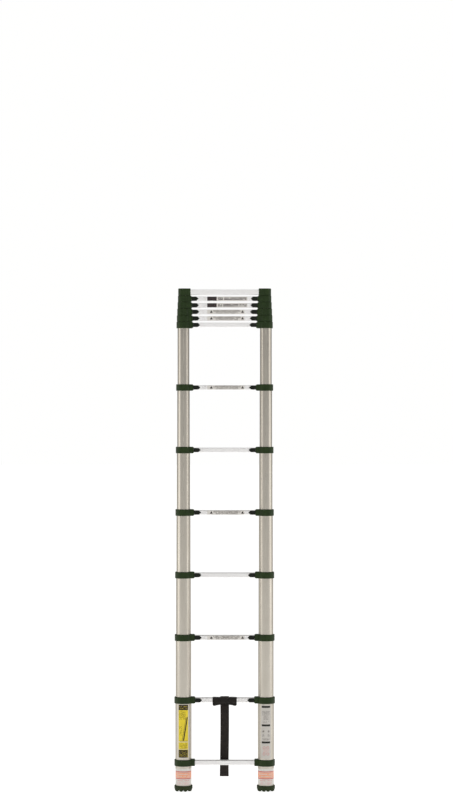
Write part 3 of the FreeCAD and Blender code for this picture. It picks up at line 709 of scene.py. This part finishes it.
def small_print_strip(rung):
    place = on_rung(rung)
    x = STRIP_MIDDLE
    parts = [film_mesh(place, WHITE, x - 0.094, x + 0.088, -STRIP_HALF, STRIP_HALF)]
    for u in (x - 0.074, x + 0.078):
        parts.append(triangle_mesh(place, PLUM_INK, (u, 0.0006), 0.0068))
    blocks = [
        ((x + 0.002, 0.0048), (0.128, 0.0042), (27, 2), (0.0026, 0.003, 0.006), 0.88, rung),
        ((x + 0.002, -0.0036), (0.104, 0.0064), (25, 3), (0.0018, 0.002, 0.005), 0.88, rung + 20),
    ]
    return parts + [print_mesh(place, GREY_INK, *block) for block in blocks]


def block_strip(rung):
    place = on_rung(rung)
    x = STRIP_MIDDLE
    parts = [
        film_mesh(place, WHITE, x - 0.094, x + 0.102, -STRIP_HALF, STRIP_HALF),
        film_mesh(place, PLUM_INK, x - 0.094, x - 0.048, -STRIP_HALF, STRIP_HALF, lift=0.0001),
    ]
    small, large = (0.0018, 0.002, 0.005), (0.0048, 0.003, 0.0062)
    blocks = [
        (GREY_INK, (x - 0.071, 0), (0.032, 0.006), (9, 2), small, 0.8, rung, 0.00026),
        (PLUM_INK, (x + 0.028, 0), (0.134, 0.0066), (28, 2), large, 0.85, rung + 40),
    ]
    return parts + [print_mesh(place, *block) for block in blocks]


def hatching(rung, left, right):
    """Faint rows of fine marks between two places on a rung."""
    place = on_rung(rung)
    middle, width = ((left + right) / 2, 0.0), right - left - 0.004
    return print_mesh(place, PALE_INK, middle, (width, 0.014), (int(width / 0.0028), 8),
                      (0.0006, 0.0010, 0.0034), 0.55, rung + 60, 0.00002)


for rung in (3, 5, 7, 9, 10, 11, 12):
    strip = block_strip(rung) if rung >= 11 else small_print_strip(rung)
    strip.append(hatching(rung, -0.109, -0.087))
    strip.append(hatching(rung, 0.112, 0.124) if rung >= 11 else hatching(rung, 0.099, 0.111))
    name = f"rung_strip_{rung:02d}"
    piece = link_piece(name, join_meshes(name, strip), body_of_rung(rung))
print("strip of rung 12:", len(piece.data.polygons), "faces")
low_hatching = join_meshes("rung_hatching_02", [hatching(2, -0.112, -0.062), hatching(2, 0.062, 0.112)])
piece = link_piece("rung_hatching_02", low_hatching, "base")
print("hatching on rung 2:", len(piece.data.polygons), "faces")

# %% [markdown]
# ## Webbing material
# Webbing is woven in ribs, so light breaks up on it at the scale of the weave. The relief of
# the ribs is modelled in the mesh further down; this tree adds the threads inside a rib, a soft
# sheen at grazing angles, and lint and dust that lift the black to a warm grey in patches.

# %% Webbing material


def webbing(name, colour, worn, thread):
    material, tree, shader = start_material(name, Specular_IOR_Level=0.2, Sheen_Weight=0.25)
    slanted = stretched(tree, (thread, 0, thread * 0.35))
    across = add(tree, "ShaderNodeTexWave", {"Vector": slanted}, wave_profile="SIN")
    along = add(tree, "ShaderNodeTexWave", {"Vector": stretched(tree, (0, 0, thread)), "Distortion": 1.5})
    both = {0: across.outputs["Fac"], 1: along.outputs["Fac"]}
    weave = add(tree, "ShaderNodeMath", both, operation="MULTIPLY")
    dust = noise(tree, (1, 1, 1), size=70, detail=6, roughness=0.7)
    lint = noise(tree, (1, 1, 0.3), size=1600, detail=2)
    tint = blend_colours(tree, spread(tree, dust, 0.4, 0.8, 0, 0.6), colour, worn)
    tint = blend_colours(tree, spread(tree, lint, 0.62, 0.8, 0, 0.5), tint, worn)
    tree.links.new(tint, shader.inputs["Base Color"])
    tree.links.new(spread(tree, dust, 0.3, 0.7, 0.72, 0.9), shader.inputs["Roughness"])
    bump(tree, shader, weave.outputs[0], 0.00025, 0.7)
    return material


WEBBING = webbing("black_webbing", seen(30, 25, 22), seen(62, 55, 50), 60)
SLEEVE_CLOTH = webbing("sleeve_cloth", seen(21, 18, 15), seen(46, 41, 36), 90)
THREAD = webbing("sewing_thread", seen(50, 45, 40), seen(84, 77, 70), 400)

# %% [markdown]
# ## Cloth along a path
# Both pieces of cloth are ribbons: a path in the plane across the ladder, swept along X. A
# ribbon is built as a grid with a front and a back, closed round its edge, so that it has the
# real thickness of the cloth. The path says where the middle of the cloth runs. A shape function
# says how far the cloth drifts sideways, how far it stands off the path and how deep the weave is.

# %% Ribbon helpers


def rounded_path(corners, radius, step):
    """Points along straight runs through corners in the YZ plane, with every bend an arc."""
    points = []
    for i, corner in enumerate(corners):
        if i in (0, len(corners) - 1):
            points.append(Vector(corner))
            continue
        here = Vector(corner)
        before = (Vector(corners[i - 1]) - here).normalized()
        after = (Vector(corners[i + 1]) - here).normalized()
        half = before.angle(after) / 2
        reach = radius / math.tan(half)
        centre = here + (before + after).normalized() * (radius / math.sin(half))
        start, end = here + before * reach - centre, here + after * reach - centre
        turn = start.angle(end)
        for k in range(9):
            share = k / 8
            mixed = (start * math.sin((1 - share) * turn) + end * math.sin(share * turn)) / math.sin(turn)
            points.append(centre + mixed)
    spaced = [points[0]]
    for first, second in zip(points, points[1:]):
        count = max(1, round((second - first).length / step))
        spaced += [first.lerp(second, k / count) for k in range(1, count + 1)]
    return spaced


def path_length(path):
    return sum((second - first).length for first, second in zip(path, path[1:]))


def ribbon(name, path, columns, thick, shape, material):
    """Cloth along a path of (y, z) points. For a share s across and a distance t along, shape(s, t)
    gives the place across, the shifts out of the cloth and up, and the depth of the weave."""
    made = bmesh.new()
    count = len(path)
    normals = []
    for i in range(count):
        along = path[min(i + 1, count - 1)] - path[max(i - 1, 0)]
        normals.append(Vector((-along.y, along.x)).normalized())
    sheets = []
    for side in (0.5, -0.5):
        rows, t = [], 0.0
        for i, (y, z) in enumerate(path):
            t += (path[i] - path[i - 1]).length if i else 0.0
            row = []
            for j in range(columns + 1):
                x, out, rise, relief = shape(j / columns, t)
                off = normals[i] * (out + side * (thick + 2 * relief))
                row.append(made.verts.new((x, y + off.x, z + off.y + rise)))
            rows.append(row)
        sheets.append(rows)
    front, back = sheets
    for i in range(count - 1):
        for j in range(columns):
            made.faces.new((front[i][j], front[i][j + 1], front[i + 1][j + 1], front[i + 1][j]))
            made.faces.new((back[i][j], back[i + 1][j], back[i + 1][j + 1], back[i][j + 1]))
    last = count - 1
    for i in range(last):
        made.faces.new((front[i][0], front[i + 1][0], back[i + 1][0], back[i][0]))
        made.faces.new((front[i][columns], back[i][columns], back[i + 1][columns], front[i + 1][columns]))
    for j in range(columns):
        made.faces.new((front[0][j], back[0][j], back[0][j + 1], front[0][j + 1]))
        made.faces.new((front[last][j], front[last][j + 1], back[last][j + 1], back[last][j]))
    bmesh.ops.recalc_face_normals(made, faces=made.faces)
    for face in made.faces:
        face.smooth = True
    mesh = bpy.data.meshes.new(name)
    made.to_mesh(mesh)
    made.free()
    mesh.materials.append(material)
    return mesh


# %% [markdown]
# ## The sleeve on rung 2
# A strip of thin cloth starts in front of the tail under the rung, goes up the front, over the
# tread and down the back, and meets itself in the tail, where it is sewn. The lower edge of the
# tail is pulled up in the middle to a shallow arch, and its corners are rounded.

# %% Sleeve on rung 2
sleeve_low, sleeve_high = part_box("closure_strap")
SECOND_RUNG = rung_height(2)
SLEEVE_HALF = 0.059
STRAP_HALF = 0.021
SLEEVE_THICK = 0.0015
SLEEVE_TAIL = 0.029
front_y = RUNG_DEPTH / 2 + 0.0013
over_z = RUNG_HEIGHT / 2 + 0.0013
under_z = over_z + 0.0006
tail_y = 0.0011
hem_z, low_z, high_z = SECOND_RUNG - SLEEVE_TAIL, SECOND_RUNG - under_z, SECOND_RUNG + over_z
sleeve_path = rounded_path(
    [
        (-tail_y, hem_z), (-tail_y, low_z), (-front_y, low_z), (-front_y, high_z),
        (front_y, high_z), (front_y, low_z), (tail_y, low_z), (tail_y, hem_z),
    ],
    0.0016, 0.0010,
)
SLEEVE_LENGTH = path_length(sleeve_path)
TAIL_RUN = SLEEVE_TAIL - under_z


def sleeve_shape(s, t):
    """Arched lower edge, rounded corners, faint slack waves and a fine cross weave."""
    u = 2 * s - 1
    x = SLEEVE_HALF * u
    from_end = min(t, SLEEVE_LENGTH - t)
    in_tail = max(0.0, 1 - from_end / TAIL_RUN)
    arch = 0.0065 * (1 - min(1.0, abs(u) / 0.8) ** 2)
    corner = 0.005 * max(0.0, (abs(u) - 0.9) / 0.1) ** 2
    rise = (arch + corner) * in_tail
    slack = 0.00035 * math.sin(9 * u + 160 * t) if from_end > 0.02 else 0.0
    relief = 0.00013 * math.sin(x * 2 * math.pi / 0.0030) * math.sin(t * 2 * math.pi / 0.0044)
    return x, slack, rise, relief


sleeve = link_piece("sleeve", ribbon("sleeve", sleeve_path, 196, SLEEVE_THICK, sleeve_shape, SLEEVE_CLOTH),
                    "base")
print("sleeve:", round(SLEEVE_LENGTH / MM), "mm of cloth,", len(sleeve.data.polygons), "faces")

# %% [markdown]
# ## The strap
# The strap lies over the top of the sleeve and hangs freely behind the two lowest rungs. Heavy
# webbing keeps some of the curl it had when it was done up, so it hangs in a shallow wave and
# its free end swings a little to one side. Its ribs run across it, one every three millimetres.

# %% Strap
STRAP_THICK = 0.0017
STRAP_DROP = SECOND_RUNG - sleeve_low.z - 0.0005
strap_top = sleeve_high.z - STRAP_THICK / 2 - 0.0003
strap_back = sleeve_high.y - STRAP_THICK / 2 - 0.0003
strap_path = rounded_path(
    [
        (-front_y - 0.0005, strap_top - 0.004), (-front_y + 0.001, strap_top), (strap_back, strap_top),
        (strap_back, SECOND_RUNG - STRAP_DROP),
    ],
    0.0016, 0.0008,
)
STRAP_LENGTH = path_length(strap_path)
HANG_START = 2 * front_y + 0.03


def x_threads(u):
    """Phase of the lengthwise threads for a share across."""
    return u * STRAP_HALF * 2 * math.pi / 0.0022


def strap_shape(s, t):
    """A gentle wave and drift in the hanging run, ribs across, and flatter selvedges."""
    u = 2 * s - 1
    hang = max(0.0, t - HANG_START)
    share = hang / (STRAP_LENGTH - HANG_START)
    drift = -0.0012 * share + 0.0008 * math.sin(5.0 * share)
    flare = 1.0 + 0.045 * max(0.0, (share - 0.8) / 0.2)
    wave = -0.0016 * (1 - math.cos(4 * math.pi * share)) / 2 - 0.0006 * share * u
    rib = 0.00026 * (math.sin(t * 2 * math.pi / 0.0032) + 0.35 * math.sin(x_threads(u)))
    edge = 1.0 if abs(u) < 0.9 else 0.2
    return STRAP_HALF * u * flare + drift, wave, 0.0, rib * edge


strap = link_piece("strap", ribbon("strap", strap_path, 60, STRAP_THICK, strap_shape, WEBBING),
                   "base")
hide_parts("closure_strap")
print("strap:", round(STRAP_LENGTH / MM), "mm of webbing,", len(strap.data.polygons), "faces")

# %% [markdown]
# ## Rows of stitches
# Sewing holds the cloth together, and it is one small long bead repeated along a seam. A seam is
# a list of points; the tree spaces points evenly along it, turns a bead to the run of the
# seam at each one, makes them real and gives them the thread. The seams run along the rim of
# the tail, up the ends of the sleeve, round a crossed square on the tread, and round the hem
# and the patch.

# %% Stitch tree


def stitch_tree():
    sizes = {"Pitch": "Float", "Stitch": "Float", "Thread width": "Float", "Thread": "Material"}
    tree, given = start_tree("row_of_stitches", sizes)
    line = add(tree, "GeometryNodeMeshToCurve", {"Mesh": given["Geometry"]})
    spacing = {"Curve": line.outputs[0], "Length": given["Pitch"]}
    points = add(tree, "GeometryNodeCurveToPoints", spacing, mode="LENGTH")
    bead = add(tree, "GeometryNodeMeshIcoSphere", {"Radius": 0.5, "Subdivisions": 2})
    width = given["Thread width"]
    scale = add(tree, "ShaderNodeCombineXYZ", {0: width, 1: width, 2: given["Stitch"]})
    placed = add(tree, "GeometryNodeInstanceOnPoints", {
        "Points": points.outputs["Points"], "Instance": bead.outputs[0],
        "Rotation": points.outputs["Rotation"], "Scale": scale.outputs[0],
    })
    finish_tree(tree, placed.outputs[0], given["Thread"])
    return tree


STITCHES = stitch_tree()


def seam(points, pitch=0.0032, stitch=0.0026, width=0.0007):
    """A row of stitches along points."""
    line = bpy.data.meshes.new("seam")
    line.from_pydata([tuple(p) for p in points], [(i, i + 1) for i in range(len(points) - 1)], [])
    values = {"Pitch": pitch, "Stitch": stitch, "Thread width": width, "Thread": THREAD}
    return grow(STITCHES, values, line)


# %% [markdown]
# ## Seams of the sleeve
# Two rows of stitches follow the rim of the tail in front and behind. One row runs up each end
# of the sleeve, in front of the rung and behind it. A square with a cross in it is sewn through
# the strap where it lies on the tread.

# %% Seams of the sleeve
tail_front = -tail_y - SLEEVE_THICK / 2
sleeve_face = -front_y - SLEEVE_THICK / 2
seams = []
for depth in (tail_front, -tail_front):
    for inset in (0.0035, 0.0075):
        edge = []
        for i in range(41):
            u = -0.93 + 1.86 * i / 40
            x, _, rise, _ = sleeve_shape((u + 1) / 2, 0.0)
            edge.append(Vector((x, depth, hem_z + rise + inset)))
        seams.append(seam(edge))
for x in (-0.0555, 0.0555):
    for depth in (sleeve_face, -sleeve_face):
        seams.append(seam([Vector((x, depth, low_z + 0.002)), Vector((x, depth, high_z - 0.002))]))
cross_z = strap_top + STRAP_THICK / 2 + 0.0002
square = ((-0.017, -0.014), (0.017, -0.014), (0.017, 0.014), (-0.017, 0.014))
corners = [Vector((x, y, cross_z)) for x, y in square]
seams.append(seam(corners + corners[:1]))
seams += [seam([corners[0], corners[2]]), seam([corners[1], corners[3]])]
sleeve_seams = link_piece("sleeve_seams", join_meshes("sleeve_seams", seams), "base")
print("sleeve seams:", len(sleeve_seams.data.polygons), "faces")

# %% [markdown]
# ## Hem and fastening patch
# The free end of the strap is turned over behind itself and sewn, and above the hem sits a patch
# of hooks that grips the strap when it is done up round the closed ladder. Both are a second
# layer that follows the strap's own wave and drift, so they are ribbons with its shape function.

# %% Hem and patch
PATCH_THICK = 0.0014
HEM_THICK = 0.0015
HOOKS = webbing("hook_patch", seen(17, 15, 13), seen(34, 31, 28), 150)


def behind_strap(name, start, end, half, thick, material):
    """A second layer on the back of the strap, between two distances along it."""
    shift = (STRAP_THICK + thick) / 2 + 0.0001
    runs, t = [], 0.0
    for i, point in enumerate(strap_path):
        t += (strap_path[i] - strap_path[i - 1]).length if i else 0.0
        if start <= t <= end:
            runs.append((point, t))
    path = [point for point, t in runs]
    first = runs[0][1]

    def shape(s, t):
        x, wave, rise, relief = strap_shape(s, t + first)
        middle = strap_shape(0.5, t + first)[0]
        return middle + (x - middle) * half / STRAP_HALF, wave + shift, rise, relief * 0.6

    return ribbon(name, path, 40, thick, shape, material)


def seam_behind(start, end, half, lift):
    """Stitches round a rectangle on the back of the strap, between two distances along it."""
    corners = [(-half, start), (half, start), (half, end), (-half, end), (-half, start)]
    points = []
    for (across, t), (to_across, to_t) in zip(corners, corners[1:]):
        for k in range(12):
            u = (across + (to_across - across) * k / 12) / STRAP_HALF
            along = t + (to_t - t) * k / 12
            x, wave, _, _ = strap_shape((u + 1) / 2, along)
            y = strap_back + wave + STRAP_THICK / 2 + lift
            points.append(Vector((x, y, strap_path[-1].y + STRAP_LENGTH - along)))
    return seam(points + points[:1])


end = STRAP_LENGTH
hem_mesh = behind_strap("strap_hem", end - 0.024, end, 0.0205, HEM_THICK, WEBBING)
hem = link_piece("strap_hem", hem_mesh, "base")
patch_mesh = behind_strap("hook_patch", end - 0.100, end - 0.030, 0.018, PATCH_THICK, HOOKS)
patch = link_piece("hook_patch", patch_mesh, "base")
back_seams = [
    seam_behind(end - 0.098, end - 0.032, 0.0165, PATCH_THICK),
    seam_behind(end - 0.022, end - 0.002, 0.0185, HEM_THICK),
]
strap_seams = link_piece("strap_seams", join_meshes("strap_seams", back_seams), "base")
print("hem and patch:", len(hem.data.polygons) + len(patch.data.polygons), "faces")

# %% [markdown]
# ## Floor, light and camera
# The ladder stands on a white floor in a white room. A round tube shows whatever stands around
# it, so the light is what gives it form: tall soft lights at both sides leave a darker band
# down the middle of each tube, and the room is bright behind and dimmer in front. The camera
# stands far back at half the height of the fully drawn-out ladder, level, with a long lens, so
# that the rungs stay parallel. Its frame is a little taller than the ladder ever gets.

# %% Stage
FRAME_HEIGHT = 3.904
EYE_HEIGHT = 1.905
EYE_SIDE = 0.009
DISTANCE = 12.0
SENSOR = 36.0


def floor_material():
    material, tree, shader = start_material("floor_white", Roughness=0.7, Emission_Strength=0.75)
    shader.inputs["Emission Color"].default_value = (1.0, 1.0, 0.995, 1.0)
    grain = noise(tree, (1, 1, 1), size=4, detail=4)
    colour = blend_colours(tree, grain, seen(246, 246, 244), seen(250, 250, 249))
    tree.links.new(colour, shader.inputs["Base Color"])
    return material


def soft_light(name, place, target, width, height, power, colour):
    data = bpy.data.lights.new(name, "AREA")
    data.shape = "RECTANGLE"
    data.size, data.size_y = width, height
    data.energy = power
    data.color = colour
    lamp = bpy.data.objects.new(name, data)
    lamp.location = place
    lamp.rotation_euler = (Vector(target) - Vector(place)).to_track_quat("-Z", "Y").to_euler()
    lamp.visible_camera = False
    bpy.context.scene.collection.objects.link(lamp)
    return lamp


def room():
    """White to the camera; as light, bright behind and at the sides and dimmer in front."""
    world = bpy.data.worlds.new("room")
    world.use_nodes = True
    bpy.context.scene.world = world
    tree = world.node_tree
    shade = tree.nodes["Background"]
    where = add(tree, "ShaderNodeTexCoord")
    axis = add(tree, "ShaderNodeSeparateXYZ", {0: where.outputs["Generated"]})
    strength = spread(tree, axis.outputs[1], -0.9, 0.5, 0.16, 0.42)
    seen_directly = add(tree, "ShaderNodeLightPath").outputs["Is Camera Ray"]
    mixed = add(tree, "ShaderNodeMapRange", {"Value": seen_directly, "To Min": strength, "To Max": 1.0})
    tree.links.new(mixed.outputs[0], shade.inputs["Strength"])
    shade.inputs["Color"].default_value = (1.0, 1.0, 0.995, 1.0)


floor_mesh = bpy.data.meshes.new("floor")
reach = 60.0
floor_mesh.from_pydata([(-reach, -reach, 0), (reach, -reach, 0), (reach, reach, 0), (-reach, reach, 0)],
                       [], [(0, 1, 2, 3)])
floor_mesh.materials.append(floor_material())
floor = bpy.data.objects.new("floor", floor_mesh)
bpy.context.scene.collection.objects.link(floor)

room()
middle, upper = (0, 0, 1.4), (0, 0, 2.7)
soft_light("left_light", (-4.2, -0.6, 2.7), upper, 2.4, 4.8, 38, (1.0, 0.985, 0.96))
soft_light("right_light", (4.2, -0.6, 2.7), upper, 2.4, 4.8, 38, (1.0, 0.99, 0.975))
soft_light("front_light", (0.0, -6.0, 5.2), middle, 3.0, 2.0, 70, (1.0, 1.0, 1.0))

camera_data = bpy.data.cameras.new("camera")
camera_data.sensor_width = SENSOR
camera_data.lens = SENSOR * DISTANCE / FRAME_HEIGHT
camera = bpy.data.objects.new("camera", camera_data)
camera.location = (EYE_SIDE, -DISTANCE, EYE_HEIGHT)
camera.rotation_euler = (math.pi / 2, 0, 0)
bpy.context.scene.collection.objects.link(camera)
bpy.context.scene.camera = camera
bpy.context.scene.view_settings.view_transform = "Standard"
print("camera", DISTANCE, "m back, lens", round(camera_data.lens, 1), "mm")
